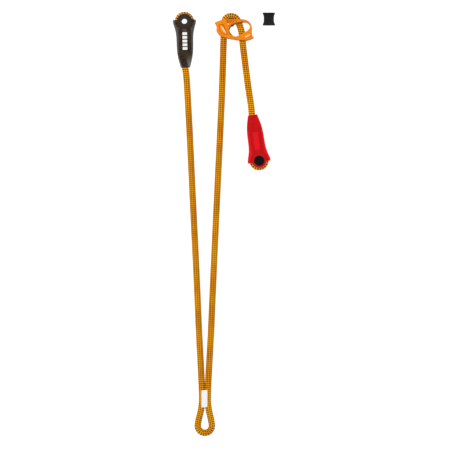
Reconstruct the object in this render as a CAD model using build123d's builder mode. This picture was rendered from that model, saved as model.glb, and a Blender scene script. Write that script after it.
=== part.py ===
from build123d import *
import os
from math import cos, pi, radians, sin, tan

# Double positioning lanyard with a rope grab as length adjuster, lying flat.
# Frame: X across, Y along the lanyard towards the grab, Z up from the surface it lies on.
# The origin is the middle of the footprint of all pieces but the free rope stretches.

os.makedirs("parts", exist_ok=True)

# ---------------------------------------------------------------- driving dimensions
HALF_LENGTH = 309.8  # top of the fixed eye to the middle, and middle to the bottom of the loop
HALF_WIDTH = 74.6  # left ear of the fixed sleeve to the middle, and middle to the keeper

ROPE_DIA = 9.5
ROPE_R = ROPE_DIA / 2
LYING_Z = 4.8  # rope centre where it lies on the surface
STRAND_GAP = 9.6  # between the centres of two strands sewn side by side
CUT_GAP = 0.3  # left between rope pieces of two bodies

# sleeve and thimble, the same on both ends
WALL = 1.3
SLEEVE_THICK = 12.7
SLEEVE_MID = SLEEVE_THICK / 2
SLEEVE_STATIONS = (  # distance from the hole along the sleeve, and half its width there
    (-67.3, 7.0),
    (-60.0, 8.8),
    (-48.0, 11.2),
    (-38.0, 12.0),
    (-22.0, 12.4),
    (-12.0, 13.9),
    (-3.5, 16.3),
    (2.0, 16.8),
)
SLEEVE_EDGE_R = 5.8
CAVITY_EDGE_R = 4.4
PAD_WIDTH, PAD_LENGTH, PAD_RISE = 8.8, 27.0, 0.4
PAD_CENTRE = -29.0
BORE_R = 4.0
HUB_R = 4.5
FLANGE_R = 10.7
FLANGE_ROOM = 0.15  # between the flange and the sleeve wall cut round it
EYE_R = 9.3  # centreline of the rope round the thimble
EYE_OUTER = EYE_R + ROPE_R
EYE_NECK = -21.0  # where the two strands come together
TAIL_END = -46.8
ENTRY_END = -51.0  # where the entering rope reaches its strand
STITCH_WIDTH, STITCH_TOP, STITCH_END = 5.0, -22.0, -44.5

# plug in the eye of the free end
PLUG_R = 7.5
PLUG_CAP = 1.6
PLUG_STUD_R = 3.9
PLUG_PIN_R = 1.95

# rope grab
PLATE = 2.5
PLATE_GAP = 11.0
GRAB_THICK = 2 * PLATE + PLATE_GAP
GRAB_MID = GRAB_THICK / 2
POST_R = 5.0
BIGHT_R = 10.6  # centreline of the rope round the post
PLATE_EDGE = 1.0
TENON_LENGTH, TENON_WIDTH = 8.4, 3.6
SADDLE_LENGTH, SADDLE_WIDTH = 14.4, 4.8
RELIEF = 0.8  # depth of the pockets in the outer faces
HEEL = (-19.3, -5.2)
NOSE = (28.2, -19.0)
BRIDGE_RIVETS = ((0.0, -21.2), (5.4, -22.0))

# harness loop
LOOP_R = 10.3
LOOP_OUTER = LOOP_R + ROPE_R
LOOP_MID_Z = 5.25
LOOP_STITCH_WIDTH, LOOP_STITCH_RISE = 8.2, 0.45
LOOP_STITCH_TOP, LOOP_STITCH_END = -242.3, -267.5

# keeper
KEEPER_SIDE, KEEPER_WAIST = 18.2, 14.8
KEEPER_THICK, KEEPER_WAIST_THICK = 11.0, 9.4
KEEPER_SLOT_WIDTH, KEEPER_SLOT_THICK = 12.0, 5.6

# ---------------------------------------------------------------- where the pieces lie
FIXED_EYE = (-HALF_WIDTH + SLEEVE_STATIONS[-1][1], HALF_LENGTH - EYE_OUTER)
FIXED_LEAN = 1.3  # degrees that the fixed sleeve leans to the left
FREE_EYE = (51.2, 92.2)
FREE_LEAN = 188.2  # the free sleeve points down and a little to the right
FREE_LIFT = PLUG_CAP  # the free sleeve rests on the rear cap of its plug
POST = (10.4, 292.7)
LOOP_CENTRE = (-28.0, -HALF_LENGTH + LOOP_OUTER)
SEWN_X = -27.8  # between the two strands above the harness loop
SEWN_TOP = -233.5
KEEPER_AT = (HALF_WIDTH - KEEPER_SIDE / 2, 299.2)


def leaning_plane(centre, lean, height):
    """Plane on the surface whose Y runs from a sleeve's tail to its eye."""
    turn = radians(lean)
    return Plane(origin=(*centre, height), x_dir=(cos(turn), sin(turn), 0), z_dir=(0, 0, 1))


FIXED = leaning_plane(FIXED_EYE, FIXED_LEAN, 0)
FREE = leaning_plane(FREE_EYE, FREE_LEAN, FREE_LIFT)
GRAB = Plane(origin=(*POST, 0))


def in_frame(plane, points):
    """Points given in a plane's own coordinates, in the frame of the whole lanyard."""
    return [plane.from_local_coords(Vector(*point)) for point in points]


# ---------------------------------------------------------------- rope along a route
def corner_radii(name, points):
    """The largest radius that each corner's two runs have room for."""
    radii = []
    for i in range(1, len(points) - 1):
        before = points[i] - points[i - 1]
        after = points[i + 1] - points[i]
        turn = radians(before.get_angle(after))
        radii.append(0.45 * min(before.length, after.length) / tan(turn / 2))
    print(name, "radii", [round(radius) for radius in radii])
    return radii


def rope_along(name, points, radii=None):
    """A plain round rope along straight runs joined by tangent arcs."""
    points = [Vector(*point) for point in points]
    radii = radii or corner_radii(name, points)
    with BuildPart() as rope:
        with BuildLine() as route:
            FilletPolyline(*points, radius=radii)
        path = route.wire()
        with BuildSketch(Plane(origin=path @ 0, z_dir=path % 0)):
            Circle(ROPE_R)
        sweep(path=path)
    ratio = rope.part.volume / (pi * ROPE_R**2 * path.length)
    print(name, "length", round(path.length, 1), "volume ratio", round(ratio, 4))
    return rope.part


def save(part, label):
    part.label = label
    export_step(part, f"parts/{label}.step")


# ---------------------------------------------------------------- sleeves, thimbles and eyes
def sleeve_section(plane, station, half_width, thick, edge_r):
    """Section across a sleeve, square to its length."""
    middle = plane.from_local_coords(Vector(0, station, SLEEVE_MID))
    across = Plane(origin=middle, x_dir=plane.x_dir, z_dir=plane.y_dir)
    with BuildSketch(across) as section:
        RectangleRounded(2 * half_width, thick, edge_r)
    return section.sketch


def make_sleeve(plane):
    """Flat moulded sleeve, open at both ends, with a raised pad on its front."""
    past_end = {SLEEVE_STATIONS[0][0]: -0.5, SLEEVE_STATIONS[-1][0]: 0.5}
    cavity_thick = SLEEVE_THICK - 2 * WALL
    outside, inside = [], []
    for station, half_width in SLEEVE_STATIONS:
        outside.append(sleeve_section(plane, station, half_width, SLEEVE_THICK, SLEEVE_EDGE_R))
        station += past_end.get(station, 0)
        inside.append(sleeve_section(plane, station, half_width - WALL, cavity_thick, CAVITY_EDGE_R))
    with BuildPart() as sleeve:
        loft(outside)
        with BuildSketch(plane.offset(SLEEVE_THICK - WALL / 2)):
            with Locations((0, PAD_CENTRE)):
                RectangleRounded(PAD_WIDTH, PAD_LENGTH, 1.5)
        extrude(amount=WALL / 2 + PAD_RISE)
        loft(inside, mode=Mode.SUBTRACT)
        with BuildSketch(plane.offset(-1)):
            Circle(FLANGE_R + FLANGE_ROOM)
        extrude(amount=SLEEVE_THICK + 2, mode=Mode.SUBTRACT)
    return sleeve.part


def make_thimble(plane):
    """Spool in the rope's eye: a bored hub between two flanges."""
    with BuildPart() as thimble:
        with BuildSketch(plane):
            Circle(FLANGE_R)
        extrude(amount=WALL)
        with BuildSketch(plane.offset(WALL)):
            Circle(HUB_R)
        extrude(amount=SLEEVE_THICK - 2 * WALL)
        with BuildSketch(plane.offset(SLEEVE_THICK - WALL)):
            Circle(FLANGE_R)
        extrude(amount=WALL)
        rims = thimble.edges().filter_by(GeomType.CIRCLE).filter_by(lambda rim: rim.radius > HUB_R + 1)
        fillet(rims.group_by(Axis.Z)[0] + rims.group_by(Axis.Z)[-1], 0.6)
        with BuildSketch(plane):
            Circle(BORE_R)
        extrude(amount=SLEEVE_THICK, mode=Mode.SUBTRACT)
    return thimble.part


def eye_route(side):
    """Route round the thimble from the neck on one side to the cut tail on the other."""
    sewn = STRAND_GAP / 2
    return [
        (side * sewn, EYE_NECK, SLEEVE_MID),
        (side * EYE_R, -1.5, SLEEVE_MID),
        (side * EYE_R, EYE_R, SLEEVE_MID),
        (-side * EYE_R, EYE_R, SLEEVE_MID),
        (-side * EYE_R, -1.5, SLEEVE_MID),
        (-side * sewn, EYE_NECK, SLEEVE_MID),
        (-side * sewn, TAIL_END, SLEEVE_MID),
    ]


EYE_RADII = [45.0, 11.5, EYE_R - 0.05, EYE_R - 0.05, 11.5, 45.0]


def make_eye_stitching(plane):
    """Thread that fills the two valleys between the sewn strands."""
    with BuildPart() as stitching:
        height = ROPE_DIA + 0.1
        with BuildSketch(plane.offset(SLEEVE_MID - height / 2)):
            with Locations((0, (STITCH_TOP + STITCH_END) / 2)):
                Rectangle(STITCH_WIDTH, STITCH_TOP - STITCH_END)
        extrude(amount=height)
        for side in (-1, 1):
            start = plane.from_local_coords(Vector(side * STRAND_GAP / 2, STITCH_END - 1, SLEEVE_MID))
            with BuildSketch(Plane(origin=start, x_dir=plane.x_dir, z_dir=plane.y_dir)):
                Circle(STRAND_GAP / 2 + 0.05)
            extrude(amount=STITCH_TOP - STITCH_END + 2, mode=Mode.SUBTRACT)
    return stitching.part


# fixed end: the arm's rope enters the sleeve, leans to the left strand and goes round the eye
FIXED_SIDE = -1
fixed_entry = in_frame(FIXED, [(0.7, -70.0, SLEEVE_MID), (-STRAND_GAP / 2, ENTRY_END, SLEEVE_MID)])
fixed_cut = fixed_entry[0] * 0.4 + fixed_entry[1] * 0.6
fixed_eye_route = [fixed_cut, fixed_entry[1], *in_frame(FIXED, eye_route(FIXED_SIDE))]
save(rope_along("fixed_eye_rope", fixed_eye_route, radii=[48.0, *EYE_RADII]), "fixed_eye_rope")
save(make_sleeve(FIXED), "fixed_end_sleeve")
save(make_thimble(FIXED), "fixed_end_thimble")
save(make_eye_stitching(FIXED), "fixed_eye_stitching")

# free end: the same sleeve turned over, its rope on the other strand
FREE_SIDE = 1
free_entry = in_frame(FREE, [(-0.2, -70.0, SLEEVE_MID), (STRAND_GAP / 2, ENTRY_END, SLEEVE_MID)])
free_cut = in_frame(FREE, [(STRAND_GAP / 2, -27.0, SLEEVE_MID)])[0]
free_eye_route = [free_cut, *in_frame(FREE, eye_route(FREE_SIDE))]
save(rope_along("free_eye_rope", free_eye_route, radii=EYE_RADII), "free_eye_rope")
save(make_sleeve(FREE), "free_end_sleeve")
save(make_thimble(FREE), "free_end_thimble")
save(make_eye_stitching(FREE), "free_eye_stitching")

# ---------------------------------------------------------------- plug in the free eye
with BuildPart() as eye_plug:
    with BuildSketch(FREE.offset(SLEEVE_THICK)):
        Circle(PLUG_R)
    extrude(amount=PLUG_CAP)
    fillet(eye_plug.edges().group_by(Axis.Z)[-1], 0.7)
    with BuildSketch(FREE.offset(0.2)):
        Circle(PLUG_STUD_R)
    extrude(amount=SLEEVE_THICK - 0.2)
    with BuildSketch(FREE):
        Circle(PLUG_PIN_R + 0.05)
    extrude(amount=SLEEVE_THICK - 0.6, mode=Mode.SUBTRACT)
save(eye_plug.part, "eye_plug")

with BuildPart() as eye_plug_back:
    with BuildSketch(FREE.offset(-PLUG_CAP)):
        Circle(PLUG_R)
    extrude(amount=PLUG_CAP)
    fillet(eye_plug_back.edges().group_by(Axis.Z)[0], 0.7)
    with BuildSketch(FREE):
        Circle(PLUG_PIN_R)
    extrude(amount=SLEEVE_THICK - 1.2)
    chamfer(eye_plug_back.edges().group_by(Axis.Z)[-1], 0.5)
save(eye_plug_back.part, "eye_plug_back")

# ---------------------------------------------------------------- rope grab
LEFT_HORN = (-24.1, 0.7)
RIGHT_HORN = (33.4, -21.2)
TOP_EDGE = [
    LEFT_HORN,
    (-14.0, 4.5),
    (-4.0, 6.0),
    (5.0, 5.9),
    (13.0, 5.8),
    (23.8, 3.7),
    (29.5, -3.4),
    (30.3, -13.7),
    RIGHT_HORN,
]
BOTTOM_EDGE = [
    RIGHT_HORN,
    (27.0, -24.2),
    (12.0, -24.9),
    (-6.0, -21.9),
    (-17.2, -17.2),
    (-21.6, -9.2),
    LEFT_HORN,
]
CONNECTOR_HOLE = [
    (-2.2, -9.0),
    (1.9, -3.0),
    (9.0, -0.6),
    (16.5, 1.0),
    (24.0, 0.5),
    (27.3, -3.8),
    (24.4, -10.2),
    (16.9, -14.9),
    (10.5, -18.3),
    (5.6, -19.6),
    (0.4, -16.2),
]
LOBE_POCKET = [(-17.4, -2.2), (-12.0, -1.6), (-4.9, -16.8), (-9.4, -17.4), (-15.0, -14.6), (-17.3, -10.0)]
RIVETS = {  # place: shank and head radius
    HEEL: (0.9, 1.4),
    NOSE: (1.3, 2.1),
    BRIDGE_RIVETS[0]: (0.9, 1.4),
    BRIDGE_RIVETS[1]: (0.9, 1.4),
}
HEAD_DEPTH = 0.8
TENON_AT = (0.0, 2.0)
SADDLE_AT = (1.0, 2.2)


def make_plate(inner, out):
    """Cheek plate from its inner face outwards; out is 1 for the front and -1 for the rear."""
    outer = inner + out * PLATE
    with BuildPart() as plate:
        with BuildSketch(GRAB.offset(inner)):
            with BuildLine():
                Spline(*TOP_EDGE, tangents=((0.9, 0.42), (0.75, -0.66)))
                Spline(*BOTTOM_EDGE, tangents=((-0.9, -0.45), (-0.55, 0.83)))
            make_face()
            with BuildLine():
                Spline(*CONNECTOR_HOLE, periodic=True)
            make_face(mode=Mode.SUBTRACT)
        extrude(amount=out * PLATE)
        faces = plate.faces().filter_by(Axis.Z).sort_by(Axis.Z)
        outer_face = faces[-1] if out > 0 else faces[0]
        inner_face = faces[0] if out > 0 else faces[-1]
        fillet(outer_face.edges(), PLATE_EDGE)
        fillet(inner_face.inner_wires()[0].edges(), PLATE_EDGE / 2)
        with BuildSketch(GRAB.offset(outer)):
            with Locations(SADDLE_AT):
                SlotOverall(SADDLE_LENGTH, SADDLE_WIDTH)
        extrude(amount=-out * RELIEF, mode=Mode.SUBTRACT)
        with BuildSketch(GRAB.offset(outer)) as pocket:
            with BuildLine():
                Polyline(*LOBE_POCKET, close=True)
            make_face()
            fillet(pocket.vertices(), 1.2)
        extrude(amount=-out * RELIEF, mode=Mode.SUBTRACT)
        with BuildSketch(GRAB.offset(outer)):
            with Locations(TENON_AT):
                SlotOverall(TENON_LENGTH, TENON_WIDTH)
        extrude(amount=-out * PLATE, mode=Mode.SUBTRACT)
        for place, (shank, head) in RIVETS.items():
            add_rivet_shape(place, inner, out, shank, head, Mode.SUBTRACT)
    return plate.part


def add_rivet_shape(place, inner, out, shank, head, mode):
    """Shank from the inner face to the outer one, with a flush head as deep as HEAD_DEPTH."""
    for radius, depth in ((shank, PLATE), (head, HEAD_DEPTH)):
        with BuildSketch(GRAB.offset(inner + out * (PLATE - depth))) as circle:
            with Locations(place):
                Circle(radius)
        extrude(circle.sketch, amount=out * depth, mode=mode)


REAR_INNER, FRONT_INNER = PLATE, PLATE + PLATE_GAP
save(make_plate(FRONT_INNER, 1), "front_plate")
save(make_plate(REAR_INNER, -1), "rear_plate")


def make_rivets(places):
    """Flush rivets through both plates and the spacer between them."""
    with BuildPart() as rivets:
        for place in places:
            shank, head = RIVETS[place]
            add_rivet_shape(place, FRONT_INNER, 1, shank, head, Mode.ADD)
            add_rivet_shape(place, REAR_INNER, -1, shank, head, Mode.ADD)
            with BuildSketch(GRAB.offset(REAR_INNER)):
                with Locations(place):
                    Circle(shank)
            extrude(amount=PLATE_GAP)
    return rivets.part


save(make_rivets([HEEL]), "heel_rivet")
save(make_rivets([NOSE]), "nose_rivet")
save(make_rivets(BRIDGE_RIVETS), "bridge_rivets")


def make_spacer(place, radius):
    """Round spacer between the plates, bored for its rivet."""
    with BuildPart() as spacer:
        with BuildSketch(GRAB.offset(REAR_INNER)):
            with Locations(place):
                Circle(radius)
                Circle(RIVETS[place][0], mode=Mode.SUBTRACT)
        extrude(amount=PLATE_GAP)
    return spacer.part


save(make_spacer(HEEL, 1.8), "heel_spacer")
save(make_spacer(NOSE, 2.6), "nose_spacer")

with BuildPart() as bight_post:
    with BuildSketch(GRAB.offset(REAR_INNER)):
        Circle(POST_R)
    extrude(amount=PLATE_GAP)
    with BuildSketch(GRAB.offset(RELIEF)):
        with Locations(TENON_AT):
            SlotOverall(TENON_LENGTH, TENON_WIDTH)
    extrude(amount=GRAB_THICK - 2 * RELIEF)
save(bight_post.part, "bight_post")

BRIDGE_TOP = [(-2.6, -19.6), (2.4, -20.6), (7.6, -20.6)]
BRIDGE_BOTTOM = [(7.6, -23.8), (2.4, -23.6), (-2.6, -22.5)]
with BuildPart() as bottom_bridge:
    with BuildSketch(GRAB.offset(REAR_INNER)):
        with BuildLine():
            ThreePointArc(*BRIDGE_TOP)
            Line(BRIDGE_TOP[-1], BRIDGE_BOTTOM[0])
            ThreePointArc(*BRIDGE_BOTTOM)
            Line(BRIDGE_BOTTOM[-1], BRIDGE_TOP[0])
        make_face()
        with Locations(*BRIDGE_RIVETS):
            Circle(RIVETS[BRIDGE_RIVETS[0]][0], mode=Mode.SUBTRACT)
    extrude(amount=PLATE_GAP)
save(bottom_bridge.part, "bottom_bridge")

# ---------------------------------------------------------------- rope round the post
BIGHT_END_TURN = 21.0  # degrees short of straight down where the rope leaves the post
STANDING_CUT = (-BIGHT_R, -12.0)
leave = radians(BIGHT_END_TURN)
leave_point = (BIGHT_R * cos(leave), BIGHT_R * sin(leave))
leave_way = (sin(leave), -cos(leave))
bight_end = (leave_point[0] + 2.0 * leave_way[0], leave_point[1] + 2.0 * leave_way[1])

with BuildPart() as bight_rope:
    with BuildLine(GRAB.offset(GRAB_MID)) as route:
        Line(STANDING_CUT, (-BIGHT_R, 0))
        CenterArc((0, 0), BIGHT_R, 180, BIGHT_END_TURN - 180)
        Line(leave_point, bight_end)
    path = route.wire()
    with BuildSketch(Plane(origin=path @ 0, z_dir=path % 0)):
        Circle(ROPE_R)
    sweep(path=path)
print("bight_rope length", round(path.length, 1))
save(bight_rope.part, "bight_rope")

# ---------------------------------------------------------------- harness loop
STRAND_LEFT, STRAND_RIGHT = SEWN_X - STRAND_GAP / 2, SEWN_X + STRAND_GAP / 2
LOOP_LEFT, LOOP_RIGHT = LOOP_CENTRE[0] - LOOP_R, LOOP_CENTRE[0] + LOOP_R
LOOP_NECK = -267.5
LOOP_SHOULDER = LOOP_CENTRE[1] + 2.8
LOOP_BOTTOM = LOOP_CENTRE[1] - LOOP_R
harness_route = [
    (STRAND_LEFT, SEWN_TOP, LOOP_MID_Z),
    (STRAND_LEFT, LOOP_NECK, LOOP_MID_Z),
    (LOOP_LEFT, LOOP_SHOULDER, LOOP_MID_Z),
    (LOOP_LEFT, LOOP_BOTTOM, LOOP_MID_Z),
    (LOOP_RIGHT, LOOP_BOTTOM, LOOP_MID_Z),
    (LOOP_RIGHT, LOOP_SHOULDER, LOOP_MID_Z),
    (STRAND_RIGHT, LOOP_NECK, LOOP_MID_Z),
    (STRAND_RIGHT, SEWN_TOP, LOOP_MID_Z),
]
loop_radii = [50.0, 20.0, LOOP_R - 0.05, LOOP_R - 0.05, 20.0, 50.0]
save(rope_along("harness_loop_rope", harness_route, radii=loop_radii), "harness_loop_rope")

with BuildPart() as loop_stitching:
    rise = ROPE_R + LOOP_STITCH_RISE
    with BuildSketch(Plane.XY.offset(LOOP_MID_Z - rise)):
        with Locations((SEWN_X, (LOOP_STITCH_TOP + LOOP_STITCH_END) / 2)):
            RectangleRounded(LOOP_STITCH_WIDTH, LOOP_STITCH_TOP - LOOP_STITCH_END, 0.8)
    extrude(amount=2 * rise)
    for strand in (STRAND_LEFT, STRAND_RIGHT):
        with BuildSketch(Plane(origin=(strand, LOOP_STITCH_TOP + 1, LOOP_MID_Z), z_dir=(0, -1, 0))):
            Circle(STRAND_GAP / 2 + 0.05)
        extrude(amount=LOOP_STITCH_TOP - LOOP_STITCH_END + 2, mode=Mode.SUBTRACT)
save(loop_stitching.part, "loop_stitching")

# ---------------------------------------------------------------- free stretches of rope
fixed_arm_route = [
    (STRAND_LEFT, SEWN_TOP + CUT_GAP, LOOP_MID_Z),
    (-33.6, -212.5, 4.9),
    (-36.3, -164.5, LYING_Z),
    (-39.8, -79.5, LYING_Z),
    (-45.3, 30.5, LYING_Z),
    (-50.0, 130.5, LYING_Z),
    (-53.4, 193.5, 5.4),
    fixed_entry[0],
    fixed_cut,
]
save(rope_along("fixed_arm_rope", fixed_arm_route), "fixed_arm_rope")

standing_cut = in_frame(GRAB, [(*STANDING_CUT, GRAB_MID)])[0]
standing_route = [
    (STRAND_RIGHT, SEWN_TOP + CUT_GAP, LOOP_MID_Z),
    (-22.0, -212.5, 4.9),
    (-19.2, -164.5, LYING_Z),
    (-15.6, -79.5, LYING_Z),
    (-10.6, 30.5, LYING_Z),
    (-5.7, 130.5, LYING_Z),
    (-2.9, 192.5, 5.0),
    (-1.5, 236.5, 6.8),
    (-0.8, 262.5, 7.9),
    standing_cut - Vector(0, CUT_GAP, 0),
]
save(rope_along("standing_rope", standing_route), "standing_rope")

free_start = in_frame(GRAB, [(*bight_end, GRAB_MID)])[0]
free_gap = Vector(leave_way[0], leave_way[1], 0) * CUT_GAP
free_route = [
    free_start + free_gap,
    *in_frame(GRAB, [(15.8, -10.7, GRAB_MID), (16.8, -29.2, GRAB_MID), (20.0, -54.2, 7.4)]),
    (35.4, 198.5, 6.9),
    free_entry[0],
    free_entry[1],
    free_cut,
]
save(rope_along("free_rope", free_route), "free_rope")

# ---------------------------------------------------------------- keeper
with BuildPart() as keeper:
    lip = KEEPER_SIDE / 2
    waist_sections = (
        (-lip, KEEPER_SIDE - 0.2, KEEPER_THICK - 0.2),
        (-lip + 0.7, KEEPER_SIDE, KEEPER_THICK),
        (-lip + 3.0, KEEPER_SIDE - 1.8, KEEPER_THICK - 1.0),
        (0.0, KEEPER_WAIST, KEEPER_WAIST_THICK),
        (lip - 3.0, KEEPER_SIDE - 1.8, KEEPER_THICK - 1.0),
        (lip - 0.7, KEEPER_SIDE, KEEPER_THICK),
        (lip, KEEPER_SIDE - 0.2, KEEPER_THICK - 0.2),
    )
    for along, width, thick in waist_sections:
        middle = (KEEPER_AT[0], KEEPER_AT[1] + along, KEEPER_THICK / 2)
        with BuildSketch(Plane(origin=middle, x_dir=(1, 0, 0), z_dir=(0, 1, 0))):
            RectangleRounded(width, thick, 3.6)
    loft()
    start = (KEEPER_AT[0], KEEPER_AT[1] - lip, KEEPER_THICK / 2)
    with BuildSketch(Plane(origin=start, x_dir=(1, 0, 0), z_dir=(0, 1, 0))):
        RectangleRounded(KEEPER_SLOT_WIDTH, KEEPER_SLOT_THICK, 2.0)
    extrude(amount=KEEPER_SIDE, mode=Mode.SUBTRACT)
save(keeper.part, "keeper")
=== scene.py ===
from math import cos, pi, radians, sin

import bpy
import numpy as np
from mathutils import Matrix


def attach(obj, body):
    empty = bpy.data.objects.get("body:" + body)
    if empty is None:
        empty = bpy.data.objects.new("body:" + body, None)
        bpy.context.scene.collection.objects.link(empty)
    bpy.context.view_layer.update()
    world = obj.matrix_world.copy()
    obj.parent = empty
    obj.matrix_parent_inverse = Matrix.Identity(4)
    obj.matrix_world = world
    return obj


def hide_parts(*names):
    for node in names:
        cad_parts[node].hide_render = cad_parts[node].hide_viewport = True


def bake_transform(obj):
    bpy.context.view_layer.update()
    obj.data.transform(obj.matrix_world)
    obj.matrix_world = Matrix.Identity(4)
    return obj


# Double positioning lanyard with a rope grab, lying flat, seen from above.
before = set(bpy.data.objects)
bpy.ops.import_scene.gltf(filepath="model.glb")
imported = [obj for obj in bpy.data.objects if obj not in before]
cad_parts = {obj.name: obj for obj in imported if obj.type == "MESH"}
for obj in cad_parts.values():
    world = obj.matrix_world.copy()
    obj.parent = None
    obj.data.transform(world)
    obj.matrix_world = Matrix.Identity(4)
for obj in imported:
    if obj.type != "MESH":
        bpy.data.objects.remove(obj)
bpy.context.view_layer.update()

MM = 0.001

# ---------------------------------------------------------------- camera
IMAGE = 452
PIXEL = 1.46 * MM  # of the object in one pixel, at the height of the sleeves' middle
CAMERA_HEIGHT = 4.0
CAMERA_AT = (2.92 * MM, -3.0 * MM)
LEVEL = 6.35 * MM
SENSOR = 36.0

camera_data = bpy.data.cameras.new("camera")
camera_data.sensor_width = SENSOR
camera_data.lens = SENSOR * CAMERA_HEIGHT / (IMAGE * PIXEL)
camera_data.clip_end = 20
camera = bpy.data.objects.new("camera", camera_data)
camera.location = (*CAMERA_AT, LEVEL + CAMERA_HEIGHT)
bpy.context.scene.collection.objects.link(camera)
bpy.context.scene.camera = camera
bpy.context.scene.view_settings.view_transform = "Standard"

# ---------------------------------------------------------------- where the pieces lie
ROPE_R = 4.75
SLEEVE_MID = 6.35
GRAB_MID = 8.0
LOOP_Z = 5.25
LYING_Z = 4.8
FIXED_EYE, FIXED_LEAN = (-57.8, 295.75, 0.0), 1.3
FREE_EYE, FREE_LEAN = (51.2, 92.2, 1.6), 188.2
POST = (10.4, 292.7, 0.0)


def placed(points, centre, lean=0.0):
    """Points given round a piece's own centre, in millimetres of the whole lanyard's frame."""
    c, s = cos(radians(lean)), sin(radians(lean))
    return [(centre[0] + u * c - v * s, centre[1] + u * s + v * c, centre[2] + z) for u, v, z in points]


# ---------------------------------------------------------------- node trees
class Recipe:
    """A material and short calls that add nodes to it."""

    def __init__(self, name, **sockets):
        self.material = bpy.data.materials.new(name)
        self.material.use_nodes = True
        self.tree = self.material.node_tree
        self.shader = self.tree.nodes["Principled BSDF"]
        for label, value in sockets.items():
            self.shader.inputs[label.replace("_", " ")].default_value = value

    def add(self, kind, **settings):
        node = self.tree.nodes.new("ShaderNode" + kind)
        for label, value in settings.items():
            setattr(node, label, value)
        return node

    def feed(self, socket, value):
        if isinstance(value, bpy.types.NodeSocket):
            self.tree.links.new(value, socket)
        else:
            socket.default_value = value

    def math(self, operation, *values):
        node = self.add("Math", operation=operation)
        for socket, value in zip(node.inputs, values):
            self.feed(socket, value)
        return node.outputs[0]

    def smooth(self, value, low, high):
        """0 below low and 1 above high."""
        node = self.add("MapRange", interpolation_type="SMOOTHSTEP")
        self.feed(node.inputs["Value"], value)
        node.inputs["From Min"].default_value = low
        node.inputs["From Max"].default_value = high
        return node.outputs["Result"]

    def inside(self, value, limit, soft):
        """1 where the value is below the limit, with a soft edge."""
        return self.math("SUBTRACT", 1.0, self.smooth(value, limit - soft, limit + soft))

    def mix(self, share, first, second):
        node = self.add("Mix", data_type="RGBA")
        self.feed(node.inputs[0], share)
        for socket, value in ((node.inputs[6], first), (node.inputs[7], second)):
            self.feed(socket, (*value, 1.0) if isinstance(value, tuple) else value)
        return node.outputs[2]

    def split(self, vector):
        node = self.add("SeparateXYZ")
        self.feed(node.inputs[0], vector)
        return node.outputs

    def place(self):
        return self.add("TexCoord").outputs["Object"]

    def around(self, centre, lean):
        """Position round a piece's own centre, in millimetres: across, along and up."""
        moved = self.add("VectorMath", operation="SUBTRACT")
        self.feed(moved.inputs[0], self.place())
        moved.inputs[1].default_value = [x * MM for x in centre]
        turned = self.add("VectorRotate", rotation_type="Z_AXIS")
        self.feed(turned.inputs["Vector"], moved.outputs[0])
        turned.inputs["Angle"].default_value = -radians(lean)
        scaled = self.add("VectorMath", operation="SCALE")
        self.feed(scaled.inputs[0], turned.outputs[0])
        scaled.inputs["Scale"].default_value = 1 / MM
        return scaled.outputs[0]

    def noise(self, scale, detail=3.0):
        """Fine cloud of values round a half; scale is in cells per metre."""
        node = self.add("TexNoise")
        self.feed(node.inputs["Vector"], self.place())
        node.inputs["Scale"].default_value = scale
        node.inputs["Detail"].default_value = detail
        return node.outputs["Fac"]

    def bump(self, height, distance, strength=1.0):
        node = self.add("Bump")
        node.inputs["Strength"].default_value = strength
        node.inputs["Distance"].default_value = distance
        self.feed(node.inputs["Height"], height)
        self.feed(self.shader.inputs["Normal"], node.outputs[0])

    def colour(self, value):
        self.feed(self.shader.inputs["Base Color"], value)

    def rough(self, value, low, high):
        """Roughness that wanders between two values."""
        node = self.add("MapRange")
        self.feed(node.inputs["Value"], value)
        node.inputs["To Min"].default_value = low
        node.inputs["To Max"].default_value = high
        self.feed(self.shader.inputs["Roughness"], node.outputs["Result"])


# ---------------------------------------------------------------- rope
STRANDS = 10  # of the sheath in each direction
PICK = 2.92  # length along the rope of one crossing
PICK_START = 0.28  # share of a pick by which the rows are moved along the long ropes
CROSSING = 2 * pi * ROPE_R / STRANDS
DOT_ACROSS, DOT_ALONG = 1.2, 1.0  # half sizes of a dark pick
DOT_SLANT = 0.3
ROW_HALF = 0.95  # half width of a row of dark picks, where no groove is drawn
AROUND = 60  # points in one ring of the mesh
RING = 0.6  # between two rings
BRAID_HEIGHT = 0.24


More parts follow.
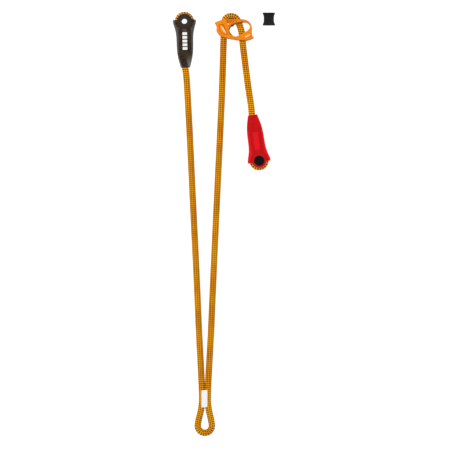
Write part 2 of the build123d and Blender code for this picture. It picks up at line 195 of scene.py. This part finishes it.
def rope_material(name, base, shade, dot, along):
    """Braided sheath with rows of dark picks.

    along is "path" where the length is the one stored with the mesh, and "frame" where it is read
    from the place along Y, so that the picks keep their pitch while the rope changes length.
    """
    recipe = Recipe(name, Sheen_Weight=0.02, Sheen_Roughness=0.5, Specular_IOR_Level=0.05)
    lay = recipe.add("Attribute", attribute_name="lay").outputs["Vector"]
    across_x, across_y, length = recipe.split(lay)
    turn = recipe.math("ARCTAN2", across_y, across_x)
    if along == "frame":
        length = recipe.split(recipe.place())[1]
    column = recipe.math("MULTIPLY", turn, STRANDS / (2 * pi))
    pick = recipe.math("MULTIPLY_ADD", length, 1 / (PICK * MM), PICK_START if along == "frame" else 0.0)
    side = recipe.math("MULTIPLY", recipe.math("SUBTRACT", column, recipe.math("ROUND", column)), CROSSING)
    ahead = recipe.math("SUBTRACT", recipe.math("FRACT", pick), 0.5)
    ahead = recipe.math("MULTIPLY", ahead, PICK)
    slanted = recipe.math("MULTIPLY_ADD", ahead, DOT_SLANT, side)
    reach = recipe.math(
        "ADD",
        recipe.math("POWER", recipe.math("DIVIDE", slanted, DOT_ACROSS), 2.0),
        recipe.math("POWER", recipe.math("DIVIDE", ahead, DOT_ALONG), 2.0),
    )
    dots = recipe.inside(reach, 1.0, 0.1)
    row = recipe.inside(recipe.math("ABSOLUTE", side), ROW_HALF, 0.4)
    first = recipe.math("FRACT", recipe.math("ADD", column, pick))
    second = recipe.math("FRACT", recipe.math("SUBTRACT", column, pick))
    edge_a = recipe.math("ABSOLUTE", recipe.math("SUBTRACT", first, 0.5))
    edge_b = recipe.math("ABSOLUTE", recipe.math("SUBTRACT", second, 0.5))
    groove = recipe.smooth(recipe.math("MAXIMUM", edge_a, edge_b), 0.36, 0.5)
    fibres = recipe.noise(900.0, 4.0)
    cloud = recipe.noise(45.0, 2.0)
    colour = recipe.mix(recipe.smooth(cloud, 0.35, 0.65), base, shade)
    off_row = recipe.math("SUBTRACT", 1.0, row)
    groove = recipe.math("MULTIPLY", groove, off_row)
    # Painted shade in the grooves between the sheath's strands.
    colour = recipe.mix(recipe.math("MULTIPLY", groove, 0.2), colour, tuple(x * 0.5 for x in shade))
    colour = recipe.mix(recipe.math("MULTIPLY", fibres, 0.1), colour, tuple(x * 0.7 for x in shade))
    colour = recipe.mix(recipe.math("MULTIPLY", dots, 0.97), colour, dot)
    recipe.colour(colour)
    recipe.rough(fibres, 0.6, 0.85)
    sunk = recipe.math("MULTIPLY", groove, 0.6)
    height = recipe.math("SUBTRACT", recipe.math("MULTIPLY", fibres, 0.5), sunk)
    recipe.bump(height, 0.15 * MM, 0.7)
    return recipe.material


ORANGE, ORANGE_SHADE = (1.0, 0.43, 0.006), (0.86, 0.30, 0.005)
YELLOW, YELLOW_SHADE = (0.90, 0.46, 0.010), (0.74, 0.33, 0.006)
DARK_PICK = (0.006, 0.004, 0.006)
FRAME_ROPE = rope_material("rope_long", ORANGE, ORANGE_SHADE, DARK_PICK, "frame")
PATH_ROPE = rope_material("rope_short", ORANGE, ORANGE_SHADE, DARK_PICK, "path")
YELLOW_ROPE = rope_material("rope_yellow", YELLOW, YELLOW_SHADE, DARK_PICK, "path")


def smooth_line(name, points):
    """Close points along the smooth line that a route's control points give, in millimetres."""
    curve = bpy.data.curves.new(name, "CURVE")
    curve.dimensions = "3D"
    curve.resolution_u = 48
    spline = curve.splines.new("NURBS")
    spline.points.add(len(points) - 1)
    for point, place in zip(spline.points, points):
        point.co = (*place, 1.0)
    spline.order_u = 3
    spline.use_endpoint_u = True
    holder = bpy.data.objects.new(name, curve)
    mesh = bpy.data.meshes.new_from_object(holder)
    line = np.array([v.co for v in mesh.vertices], float)
    bpy.data.objects.remove(holder)
    bpy.data.curves.remove(curve)
    bpy.data.meshes.remove(mesh)
    return line


def even(line, step):
    """The same line in equal steps, and the distance of each point from its start."""
    gone = np.concatenate(([0.0], np.cumsum(np.linalg.norm(np.diff(line, axis=0), axis=1))))
    count = max(8, int(round(gone[-1] / step))) + 1
    at = np.linspace(0, gone[-1], count)
    return np.stack([np.interp(at, gone, line[:, k]) for k in range(3)], axis=1), at


def sides_of(line):
    """Unit vectors beside and above each point of a line."""
    ahead = np.gradient(line, axis=0)
    ahead /= np.linalg.norm(ahead, axis=1)[:, None]
    side = np.cross(ahead, (0, 0, 1))
    side /= np.linalg.norm(side, axis=1)[:, None]
    return side, np.cross(side, ahead)


def outwards(line, count):
    """Turns of the points in one ring, and the unit vectors to them from each point of the line."""
    side, up = sides_of(line)
    turn = np.arange(count) * 2 * pi / count
    return turn, np.cos(turn)[None, :, None] * side[:, None] + np.sin(turn)[None, :, None] * up[:, None]


def ring_faces(rings, count):
    """Faces of a closed tube made of rings with count points each."""
    ids = np.arange(rings * count).reshape(rings, count)
    following = np.roll(ids, -1, axis=1)
    quads = np.stack([ids[:-1], following[:-1], following[1:], ids[1:]], axis=2).reshape(-1, 4)
    return quads[:, ::-1].tolist() + [ids[0].tolist(), ids[-1][::-1].tolist()]


def braid_height(turn, length):
    """How proud the sheath stands at a place, from 0 in a groove to 1 on the top of a strand."""
    column, pick = turn * STRANDS / (2 * pi), length / PICK
    first, second = column + pick, column - pick
    over = (np.floor(first) + np.floor(second)) % 2 == 0
    across = np.where(over, first % 1, second % 1)
    beside = np.where(over, second % 1, first % 1)
    return np.sin(pi * across) ** 0.6 * (0.4 + 0.6 * np.sin(pi * beside))


def mesh_object(name, vertices, faces, material, smooth=True):
    mesh = bpy.data.meshes.new(name)
    mesh.from_pydata(vertices, [], faces)
    mesh.polygons.foreach_set("use_smooth", [smooth] * len(mesh.polygons))
    mesh.materials.append(material)
    piece = bpy.data.objects.new(name, mesh)
    bpy.context.scene.collection.objects.link(piece)
    return piece


def make_rope(name, points, material, along="path", twist=(0.0, 0.0), picks=None, start=0.0):
    """Braided rope on a route.

    twist is the turn at its start and the turn in each 100 mm. picks is how many crossings it holds,
    where they have to meet the next rope, and start is the share of a crossing it begins with.
    """
    line, at = even(smooth_line(name, points), RING)
    turn, out = outwards(line, AROUND)
    core = line[:, None] + ROPE_R * out
    laid = turn[None, :] + (twist[0] + twist[1] * at / 100)[:, None]
    if along == "frame":
        length = core[:, :, 1] + PICK_START * PICK
    else:
        length = np.repeat(at[:, None], AROUND, axis=1)
    if picks:
        length = (length * picks / at[-1] + start) * PICK
    proud = (braid_height(laid, length) - 0.6) * BRAID_HEIGHT
    surface = (core + proud[:, :, None] * out) * MM
    piece = mesh_object(name, surface.reshape(-1, 3).tolist(), ring_faces(len(line), AROUND), material)
    lay = np.stack([np.cos(laid), np.sin(laid), length * MM], axis=2).astype(np.float32)
    stored = piece.data.attributes.new("lay", "FLOAT_VECTOR", "POINT")
    stored.data.foreach_set("vector", lay.ravel())
    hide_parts(name.replace("_braid", ""))
    return piece, (line * MM).tolist(), at[-1]


fixed_entry = placed([(0.7, -70.0, SLEEVE_MID), (-4.8, -51.0, SLEEVE_MID)], FIXED_EYE, FIXED_LEAN)
fixed_cut = placed([(-2.6, -58.6, SLEEVE_MID)], FIXED_EYE, FIXED_LEAN)[0]
free_entry = placed([(-0.2, -70.0, SLEEVE_MID), (4.8, -51.0, SLEEVE_MID)], FREE_EYE, FREE_LEAN)
free_cut = placed([(4.8, -27.0, SLEEVE_MID)], FREE_EYE, FREE_LEAN)[0]
STANDING_CUT = (-10.6, -12.0, GRAB_MID)
BIGHT_END = (10.61, 1.93, GRAB_MID)
SEWN_TOP = -233.2
LEFT_STRAND, RIGHT_STRAND = -32.6, -23.0

fixed_arm_route = [
    (LEFT_STRAND, SEWN_TOP, LOOP_Z),
    (-33.6, -212.5, 4.9),
    (-36.3, -164.5, LYING_Z),
    (-39.8, -79.5, LYING_Z),
    (-45.3, 30.5, LYING_Z),
    (-50.0, 130.5, LYING_Z),
    (-53.4, 193.5, 5.4),
    fixed_entry[0],
    fixed_cut,
]
standing_route = [
    (RIGHT_STRAND, SEWN_TOP, LOOP_Z),
    (-22.0, -212.5, 4.9),
    (-19.2, -164.5, LYING_Z),
    (-15.6, -79.5, LYING_Z),
    (-10.6, 30.5, LYING_Z),
    (-5.7, 130.5, LYING_Z),
    (-2.9, 192.5, 5.0),
    (-1.5, 236.5, 6.8),
    (-0.8, 262.5, 7.9),
    placed([STANDING_CUT], POST)[0],
]
free_route = [
    *placed([BIGHT_END, (15.8, -10.7, GRAB_MID), (16.8, -29.2, GRAB_MID), (20.0, -54.2, 7.4)], POST),
    (35.4, 198.5, 6.9),
    *free_entry,
    free_cut,
]
bight_route = placed([
    STANDING_CUT,
    (-10.6, 3.83, GRAB_MID),
    (-5.7, 9.72, GRAB_MID),
    (1.84, 11.12, GRAB_MID),
    (8.52, 7.38, GRAB_MID),
    BIGHT_END,
], POST)
harness_route = [
    (LEFT_STRAND, SEWN_TOP, LOOP_Z),
    (-32.0, -245.5, LOOP_Z),
    (-32.0, -266.0, LOOP_Z),
    (-38.3, -290.5, LOOP_Z),
    (-38.3, -299.0, LOOP_Z),
    (-32.3, -305.0, LOOP_Z),
    (-23.7, -305.0, LOOP_Z),
    (-17.7, -299.0, LOOP_Z),
    (-17.7, -290.5, LOOP_Z),
    (-23.6, -266.0, LOOP_Z),
    (-23.6, -245.5, LOOP_Z),
    (RIGHT_STRAND, SEWN_TOP, LOOP_Z),
]


def eye_route(side):
    """Route round the thimble, from the strand on one side to the cut tail on the other."""
    half = [(4.8, -21.0), (9.3, -3.85), (9.3, 3.85), (3.85, 9.3)]
    points = [(side * u, v, SLEEVE_MID) for u, v in half]
    return points + [(-u, v, z) for u, v, z in reversed(points)] + [(-side * 4.8, -46.8, SLEEVE_MID)]


fixed_eye_route = [fixed_cut, fixed_entry[1], *placed(eye_route(-1), FIXED_EYE, FIXED_LEAN)]
free_eye_route = [free_cut, *placed(eye_route(1), FREE_EYE, FREE_LEAN)]

ARM_TURN = 0.15  # of the fixed arm's rows at the sewn joint
LOOP_PICKS, LOOP_START = 52.834, 0.583  # let the loop's rows meet those of both arms
harness_loop, _, _ = make_rope("harness_loop_rope_braid", harness_route, PATH_ROPE,
                               twist=(-ARM_TURN, 0.097), picks=LOOP_PICKS, start=LOOP_START)
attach(harness_loop, "harness_loop")
bight, _, _ = make_rope("bight_rope_braid", bight_route, PATH_ROPE, twist=(0.5, 0.0))
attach(bight, "rope_bight")
fixed_eye, _, _ = make_rope("fixed_eye_rope_braid", fixed_eye_route, PATH_ROPE)
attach(fixed_eye, "fixed_arm")
free_eye, _, _ = make_rope("free_eye_rope_braid", free_eye_route, YELLOW_ROPE, twist=(0.3, 0.0))
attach(free_eye, "free_end")

fixed_arm, fixed_line, fixed_length = make_rope(
    "fixed_arm_rope_braid", fixed_arm_route, PATH_ROPE, "frame", (ARM_TURN, 0.16)
)
standing, standing_line, standing_length = make_rope(
    "standing_rope_braid", standing_route, FRAME_ROPE, "frame", (0.0, -0.14)
)
free_rope, free_line, free_length = make_rope("free_rope_braid", free_route, FRAME_ROPE, "frame", (0.5, 0.3))


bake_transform(fixed_arm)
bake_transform(standing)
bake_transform(free_rope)

# ---------------------------------------------------------------- sewn block of the harness loop
THREAD_SIDES = 8


def tube(points, radius):
    """Vertices and faces of a closed round tube through points."""
    line = np.array(points, float)
    _, out = outwards(line, THREAD_SIDES)
    return (line[:, None] + radius * out).reshape(-1, 3).tolist(), ring_faces(len(line), THREAD_SIDES)


def joined(name, parts, material):
    """One object from several lists of vertices, in millimetres, and faces."""
    vertices, faces = [], []
    for part_vertices, part_faces in parts:
        faces += [[i + len(vertices) for i in face] for face in part_faces]
        vertices += part_vertices
    return mesh_object(name, [[x * MM for x in vertex] for vertex in vertices], faces, material)


white_thread = Recipe("white_thread", Sheen_Weight=0.2, Specular_IOR_Level=0.2)
thread_fibres = white_thread.noise(1400.0, 4.0)
white_thread.colour(white_thread.mix(thread_fibres, (0.98, 0.98, 0.98), (0.90, 0.90, 0.89)))
white_thread.rough(thread_fibres, 0.65, 0.9)
white_thread.bump(thread_fibres, 0.1 * MM, 0.5)

STITCH_X, STITCH_HALF = -28.6, 4.0
STITCH_TOP, STITCH_END = -242.7, -267.1
STITCH_COUNT, STITCH_R = 34, 0.43
STITCH_SLANT = 0.5  # of the pitch, to each side
STITCH_DIP = 0.35  # of a thread between the two strands
THREAD_END_Z = 3.6  # where a thread goes into the rope, from the ropes' middle
STRAND_X = (-32.0, -23.6)


def stitch_height(x):
    """How far above the ropes' middle a thread runs: down their outer flanks, flat between them."""
    left, right = STRAND_X
    aside = max(left - x, x - right, 0.0)
    between = sin(pi * min(max((x - left) / (right - left), 0.0), 1.0))
    return (max(ROPE_R**2 - aside**2, 0.0)) ** 0.5 + 0.1 - STITCH_DIP * between


threads = []
pitch = (STITCH_TOP - STITCH_END) / (STITCH_COUNT - 1)
for row in range(STITCH_COUNT):
    for face in (1, -1):
        y = STITCH_TOP - row * pitch
        wander = 0.35 * sin(row * 2.4 + face)
        places = np.linspace(STITCH_X - STITCH_HALF + wander, STITCH_X + STITCH_HALF + 0.3 * wander, 13)
        slope = face * STITCH_SLANT * pitch / STITCH_HALF
        middle = [(x, y + slope * (x - STITCH_X), LOOP_Z + face * stitch_height(x)) for x in places]
        first = (middle[0][0] - 0.2, middle[0][1], LOOP_Z + face * THREAD_END_Z)
        last = (middle[-1][0] + 0.2, middle[-1][1], LOOP_Z + face * THREAD_END_Z)
        threads.append(tube([first, *middle, last], STITCH_R))
stitching = joined("loop_stitching_threads", threads, white_thread.material)
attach(stitching, "harness_loop")
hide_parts("loop_stitching")

# ---------------------------------------------------------------- finishes of the CAD pieces
def dress(material, *nodes):
    for node in nodes:
        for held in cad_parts[node].material_slots:
            held.material = material


# Zones of a sleeve, in millimetres from its eye: across from its middle and along towards the rope.
SHADE_WAVE = 0.9  # how far the edge of a rope's shade wanders
STRANDS_HALF = 9.7
STRANDS_END = (-50.5, -43.5)
ENTRY_TURN, ENTRY_OFF, ENTRY_LEAN = 51.0, 4.6, 0.27  # where the entering strand starts to lean inwards
ENTRY_HALF, ENTRY_TOP = 5.4, -46.0
EYE_SHADE_R = 13.8
HOLLOW_HALF, HOLLOW_TOP, HOLLOW_END = 2.5, -11.2, (-19.5, -16.0)
PAD_MIDDLE, PAD_HALF, PAD_HALF_LENGTH = 29.0, 4.1, 13.1
TAIL_TOP, TAIL_FADE = -45.0, (-74.0, -53.0)


def rope_shade(recipe, across, along, side):
    """1 where the two strands, the entering strand or the eye lies behind the sleeve's wall."""
    wave = recipe.math("MULTIPLY", recipe.noise(350.0, 2.0), SHADE_WAVE)
    reach = recipe.math("ABSOLUTE", across)
    strands = recipe.math(
        "MULTIPLY",
        recipe.inside(recipe.math("ADD", reach, wave), STRANDS_HALF, 0.45),
        recipe.smooth(along, *STRANDS_END),
    )
    below_turn = recipe.math("MINIMUM", recipe.math("ADD", along, ENTRY_TURN), 0.0)
    strand = recipe.math("MULTIPLY_ADD", below_turn, ENTRY_LEAN * side, side * ENTRY_OFF)
    off_strand = recipe.math("ABSOLUTE", recipe.math("SUBTRACT", across, strand))
    entry = recipe.math(
        "MULTIPLY",
        recipe.inside(recipe.math("ADD", off_strand, wave), ENTRY_HALF, 1.5),
        recipe.inside(along, ENTRY_TOP, 1.0),
    )
    flat = recipe.add("CombineXYZ")
    recipe.feed(flat.inputs[0], across)
    recipe.feed(flat.inputs[1], along)
    distance = recipe.add("VectorMath", operation="LENGTH")
    recipe.feed(distance.inputs[0], flat.outputs[0])
    eye = recipe.inside(distance.outputs["Value"], EYE_SHADE_R, 0.4)
    return recipe.math("MAXIMUM", recipe.math("MAXIMUM", strands, entry), eye)


def sleeve_material(name, centre, lean, side, tones, pad_share, pick_depth, rough):
    """Translucent sleeve, darker wherever the rope lies behind its wall; side is the entering strand's."""
    recipe = Recipe(name, Specular_IOR_Level=0.07, Alpha=0.94)
    across, along, _ = recipe.split(recipe.around(centre, lean))
    reach = recipe.math("ABSOLUTE", across)
    hollow = recipe.math(
        "MULTIPLY",
        recipe.inside(reach, HOLLOW_HALF, 0.7),
        recipe.math("MULTIPLY", recipe.inside(along, HOLLOW_TOP, 0.8), recipe.smooth(along, *HOLLOW_END)),
    )
    off_middle = recipe.math("ABSOLUTE", recipe.math("ADD", along, PAD_MIDDLE))
    on_pad = recipe.math(
        "MULTIPLY",
        recipe.inside(reach, PAD_HALF, 1.6),
        recipe.inside(off_middle, PAD_HALF_LENGTH, 2.0),
    )
    filled_dark = tuple(x * pick_depth for x in tones["filled"])
    behind = recipe.mix(recipe.smooth(recipe.noise(520.0, 1.0), 0.42, 0.6), tones["filled"], filled_dark)
    slanted = recipe.math("ADD", along, recipe.math("MULTIPLY", reach, -0.9))
    above_tail = recipe.smooth(slanted, *TAIL_FADE)
    end = recipe.mix(above_tail, tones["tail"], tones["filled"])
    shell = recipe.mix(recipe.inside(along, TAIL_TOP, 1.5), tones["empty"], end)
    colour = recipe.mix(rope_shade(recipe, across, along, side), shell, behind)
    colour = recipe.mix(hollow, colour, tones["gap"])
    # The pad tone is a painted highlight on the red sleeve's smooth raised pad, and a darker tone on the
    # smoky sleeve.
    colour = recipe.mix(recipe.math("MULTIPLY", on_pad, pad_share), colour, tones["pad"])
    recipe.colour(colour)
    grain = recipe.noise(700.0, 3.0)
    recipe.rough(grain, *rough)
    waves = recipe.noise(90.0, 2.0)
    recipe.bump(recipe.math("ADD", recipe.math("MULTIPLY", grain, 0.4), waves), 0.25 * MM, 0.35)
    return recipe.material


SMOKY_TONES = {
    "empty": (0.088, 0.084, 0.080),
    "tail": (0.21, 0.21, 0.21),
    "filled": (0.052, 0.033, 0.016),
    "gap": (0.07, 0.068, 0.07),
    "pad": (0.03, 0.026, 0.022),
}
RED_TONES = {
    "empty": (0.82, 0.006, 0.010),
    "tail": (0.70, 0.005, 0.008),
    "filled": (0.60, 0.004, 0.006),
    "gap": (0.60, 0.004, 0.007),
    # The red pad's lighter tone is a painted highlight on its smooth raised face.
    "pad": (0.88, 0.007, 0.018),
}
smoky = sleeve_material("smoky_plastic", FIXED_EYE, FIXED_LEAN, -1, SMOKY_TONES,
                        pad_share=0.5, pick_depth=0.3, rough=(0.38, 0.55))
red = sleeve_material("red_plastic", FREE_EYE, FREE_LEAN, 1, RED_TONES,
                      pad_share=0.75, pick_depth=0.82, rough=(0.36, 0.52))
dress(smoky, "fixed_end_sleeve")
dress(red, "free_end_sleeve")


def plain_plastic(name, tone, worn, rough, grain_scale=650.0, **sockets):
    """Moulded plastic or rubber with a fine grain and slightly uneven tone."""
    recipe = Recipe(name, **{"Specular_IOR_Level": 0.1, **sockets})
    grain = recipe.noise(grain_scale, 4.0)
    cloud = recipe.noise(70.0, 2.0)
    recipe.colour(recipe.mix(recipe.smooth(cloud, 0.3, 0.7), tone, worn))
    recipe.rough(grain, *rough)
    recipe.bump(grain, 0.08 * MM, 0.5)
    return recipe.material


smoky_thimble = plain_plastic("smoky_thimble_plastic", (0.026, 0.020, 0.017), (0.034, 0.027, 0.022),
                              (0.4, 0.55))
red_thimble = plain_plastic("red_thimble_plastic", (0.56, 0.004, 0.006), (0.62, 0.005, 0.007), (0.4, 0.55))
plug = plain_plastic("plug_plastic", (0.004, 0.004, 0.006), (0.006, 0.006, 0.009), (0.35, 0.5),
                     Specular_IOR_Level=0.06)
rubber = plain_plastic("keeper_rubber_black", (0.009, 0.009, 0.011), (0.014, 0.014, 0.017), (0.5, 0.7))
dark_thread = plain_plastic("dark_thread", (0.14, 0.09, 0.05), (0.09, 0.06, 0.035), (0.7, 0.9), 1400.0)
dress(smoky_thimble, "fixed_end_thimble")
dress(red_thimble, "free_end_thimble")
dress(plug, "eye_plug", "eye_plug_back")
dress(rubber, "keeper")
dress(dark_thread, "fixed_eye_stitching", "free_eye_stitching")


def shade_line(recipe, centre, points, half_width):
    """1 on a soft line through points round a centre, seen from above."""
    across, along, _ = recipe.split(recipe.around(centre, 0.0))
    found = 0.0
    for (x0, y0), (x1, y1) in zip(points, points[1:]):
        length = ((x1 - x0) ** 2 + (y1 - y0) ** 2) ** 0.5
        ux, uy = (x1 - x0) / length, (y1 - y0) / length
        dx, dy = recipe.math("SUBTRACT", across, x0), recipe.math("SUBTRACT", along, y0)
        gone = recipe.math("ADD", recipe.math("MULTIPLY", dx, ux), recipe.math("MULTIPLY", dy, uy))
        off = recipe.math("SUBTRACT", recipe.math("MULTIPLY", dy, ux), recipe.math("MULTIPLY", dx, uy))
        middle = recipe.math("ABSOLUTE", recipe.math("SUBTRACT", gone, length / 2))
        beyond = recipe.math("MAXIMUM", recipe.math("SUBTRACT", middle, length / 2), 0.0)
        off_square = recipe.math("MULTIPLY", off, off)
        beyond_square = recipe.math("MULTIPLY", beyond, beyond)
        distance = recipe.math("SQRT", recipe.math("ADD", off_square, beyond_square))
        away = recipe.smooth(distance, 0.0, half_width)
        found = recipe.math("MAXIMUM", found, recipe.math("SUBTRACT", 1.0, away))
    return found


CORNER_REACH = 2.2 * MM  # how far into a pocket's floor the painted shade of its wall reaches
POST_SHADE = (0.20, 0.022, 0.005)


def darker(tone, share):
    return tuple(x * share for x in tone)


def anodised(name, tone, deep, metallic, shaded_below=None, shade_lines=()):
    """Orange anodised aluminium with a fine satin grain, and painted shade in inner corners, on steep faces,
    along given lines and below a given height.
    """
    recipe = Recipe(name, Metallic=metallic, Specular_IOR_Level=0.2)
    grain = recipe.noise(1100.0, 5.0)
    cloud = recipe.noise(55.0, 3.0)
    # Painted shade: inner corners, found by ambient occlusion, and steep side faces are mixed towards a
    # darker orange.
    open_sky = recipe.add("AmbientOcclusion", samples=8, only_local=True)
    open_sky.inputs["Distance"].default_value = CORNER_REACH
    corner = recipe.math("SUBTRACT", 1.0, recipe.smooth(open_sky.outputs["AO"], 0.45, 0.98))
    facing = recipe.split(recipe.add("NewGeometry").outputs["Normal"])[2]
    turned = recipe.math("SUBTRACT", 1.0, recipe.smooth(recipe.math("ABSOLUTE", facing), 0.25, 0.97))
    colour = recipe.mix(recipe.smooth(cloud, 0.3, 0.75), tone, deep)
    colour = recipe.mix(recipe.math("MULTIPLY", turned, 0.85), colour, darker(deep, 0.4))
    colour = recipe.mix(corner, colour, darker(deep, 0.3))
    # Painted shade along the given lines, for the relief of the lobe's fold, the pocket's edge and the
    # hole's rim.
    for points, half_width, strength in shade_lines:
        line = shade_line(recipe, POST, points, half_width)
        colour = recipe.mix(recipe.math("MULTIPLY", line, strength), colour, darker(deep, 0.3))
    if shaded_below:
        height = recipe.split(recipe.place())[2]
        colour = recipe.mix(recipe.inside(height, shaded_below, 0.2 * MM), colour, POST_SHADE)
    recipe.colour(colour)
    recipe.rough(grain, 0.34, 0.5)
    recipe.bump(recipe.math("ADD", grain, recipe.math("MULTIPLY", cloud, 2.0)), 0.05 * MM, 0.5)
    return recipe.material


PLATE_SHADE_LINES = (  # painted shade lines: points round the post, half width and strength
    ([(-6.6, 3.9), (-4.9, 0.6), (-3.2, -4.0)], 1.4, 0.6),  # beside the lobe
    ([(-12.0, -1.6), (-4.9, -16.8)], 1.2, 0.5),  # edge of the pocket
    ([(0.9, -2.7), (-2.8, -8.4), (-2.4, -13.2), (-0.4, -16.8)], 1.9, 1.0),  # left rim of the hole
    ([(0.9, -2.7), (9.0, 0.3), (16.0, 1.8)], 1.5, 0.8),  # upper rim of the hole
)
# A darker copy of the plates' orange: painted shade on the spacers, the bridge and the post, which lie
# between the plates.
SHADED_CORE_ORANGE, SHADED_CORE_DEEP = (0.80, 0.17, 0.004), (0.72, 0.14, 0.004)
POST_CAP_Z = 14.8 * MM  # above it the post is seen inside the plate's pocket, and it is lit
plate = anodised("anodised_orange", (0.93, 0.275, 0.006), (0.88, 0.225, 0.005), 0.75, shade_lines=PLATE_SHADE_LINES)
core = anodised("anodised_orange_core", SHADED_CORE_ORANGE, SHADED_CORE_DEEP, 0.6)
post = anodised("anodised_orange_post", SHADED_CORE_ORANGE, SHADED_CORE_DEEP, 0.6, shaded_below=POST_CAP_Z)
rivet = anodised("rivet_orange", (0.86, 0.22, 0.005), (0.78, 0.18, 0.005), 0.75)
dress(plate, "front_plate", "rear_plate")
dress(core, "heel_spacer", "bottom_bridge", "nose_spacer")
dress(post, "bight_post")
dress(rivet, "heel_rivet", "bridge_rivets", "nose_rivet")

# ---------------------------------------------------------------- plain printed marks
def paint(name, tone, worn):
    recipe = Recipe(name, Specular_IOR_Level=0.2)
    grain = recipe.noise(900.0, 3.0)
    recipe.colour(recipe.mix(grain, tone, worn))
    recipe.rough(grain, 0.45, 0.65)
    return recipe.material


WHITE_PAINT = paint("mark_white", (0.93, 0.93, 0.92), (0.76, 0.76, 0.74))
PALE_PAINT = paint("mark_pale", (0.95, 0.72, 0.50), (0.93, 0.58, 0.30))
MARK_THICK = 0.22


def bar(centre, turn, length, width, corner, low):
    """Flat bar with round corners; its lower face lies at low."""
    outline = []
    for sx, sy, start in ((1, 1, 0), (-1, 1, 90), (-1, -1, 180), (1, -1, 270)):
        for step in range(5):
            angle = radians(start + step * 22.5)
            x = sx * (length / 2 - corner) + corner * cos(angle)
            y = sy * (width / 2 - corner) + corner * sin(angle)
            c, s = cos(radians(turn)), sin(radians(turn))
            outline.append((centre[0] + x * c - y * s, centre[1] + x * s + y * c))
    count = len(outline)
    vertices = [(x, y, low) for x, y in outline] + [(x, y, low + MARK_THICK) for x, y in outline]
    faces = [list(reversed(range(count))), list(range(count, 2 * count))]
    faces += [[i, (i + 1) % count, count + (i + 1) % count, count + i] for i in range(count)]
    return vertices, faces


def make_mark(name, bars, centre, lean, body, material):
    parts = [(placed(vertices, centre, lean), faces) for vertices, faces in bars]
    mark = joined(name, parts, material)
    mark.data.polygons.foreach_set("use_smooth", [False] * len(mark.data.polygons))
    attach(mark, body)


PAD_TOP, POCKET_TOP, PLATE_TOP = 13.1, 15.2, 16.0  # heights of the faces that carry the marks
MARK_SINK = 0.08
SLEEVE_BARS = (-18.4, -23.8, -29.2, -34.6, -40.0)
LOBE_BARS = ((-12.4, -8.6), (-9.9, -10.6))
NOSE_BARS = ((21.4, -19.9), (23.9, -18.8), (26.4, -17.7))
sleeve_bars = [bar((0.1, v), 0, 6.9, 4.0, 0.7, PAD_TOP - MARK_SINK) for v in SLEEVE_BARS]
lobe_bars = [bar(place, -62, 9.6, 1.5, 0.6, POCKET_TOP - MARK_SINK) for place in LOBE_BARS]
neck_bars = [bar((-4.3, -1.4), -62, 2.4, 1.4, 0.5, PLATE_TOP - MARK_SINK)]
nose_bars = [bar(place, 24, 2.0, 2.1, 0.5, PLATE_TOP - MARK_SINK) for place in NOSE_BARS]
make_mark("sleeve_mark", sleeve_bars, FIXED_EYE, FIXED_LEAN, "fixed_arm", WHITE_PAINT)
make_mark("grab_lobe_mark", lobe_bars, POST, 0, "rope_grab", PALE_PAINT)
make_mark("grab_neck_mark", neck_bars, POST, 0, "rope_grab", PALE_PAINT)
make_mark("grab_nose_mark", nose_bars, POST, 0, "rope_grab", PALE_PAINT)

# ---------------------------------------------------------------- floor and light
floor = Recipe("floor_paper", Roughness=0.9, Specular_IOR_Level=0.0, Emission_Color=(1.0, 1.0, 1.0, 1.0),
               Emission_Strength=0.95)
floor.colour(floor.mix(floor.noise(6.0, 2.0), (0.24, 0.24, 0.24), (0.26, 0.26, 0.26)))
FLOOR_HALF, FLOOR_Z = 8.0, -0.0006
corners = [(x * FLOOR_HALF, y * FLOOR_HALF, FLOOR_Z) for x, y in ((-1, -1), (1, -1), (1, 1), (-1, 1))]
ground = mesh_object("ground", corners, [(0, 1, 2, 3)], floor.material)

world = bpy.data.worlds.new("studio")
bpy.context.scene.world = world
world.use_nodes = True
world.node_tree.nodes["Background"].inputs["Color"].default_value = (1.0, 1.0, 1.0, 1.0)
world.node_tree.nodes["Background"].inputs["Strength"].default_value = 0.72


def add_light(name, place, size, power):
    """Soft square light that faces the lanyard's middle."""
    data = bpy.data.lights.new(name, "AREA")
    data.size = size
    data.energy = power
    light = bpy.data.objects.new(name, data)
    light.location = place
    light.rotation_mode = "QUATERNION"
    light.rotation_quaternion = light.location.to_track_quat("Z", "Y")
    bpy.context.scene.collection.objects.link(light)


add_light("key", (-1.1, 1.0, 1.9), 1.0, 20.0)
add_light("fill", (1.6, -0.8, 1.8), 1.6, 4.0)
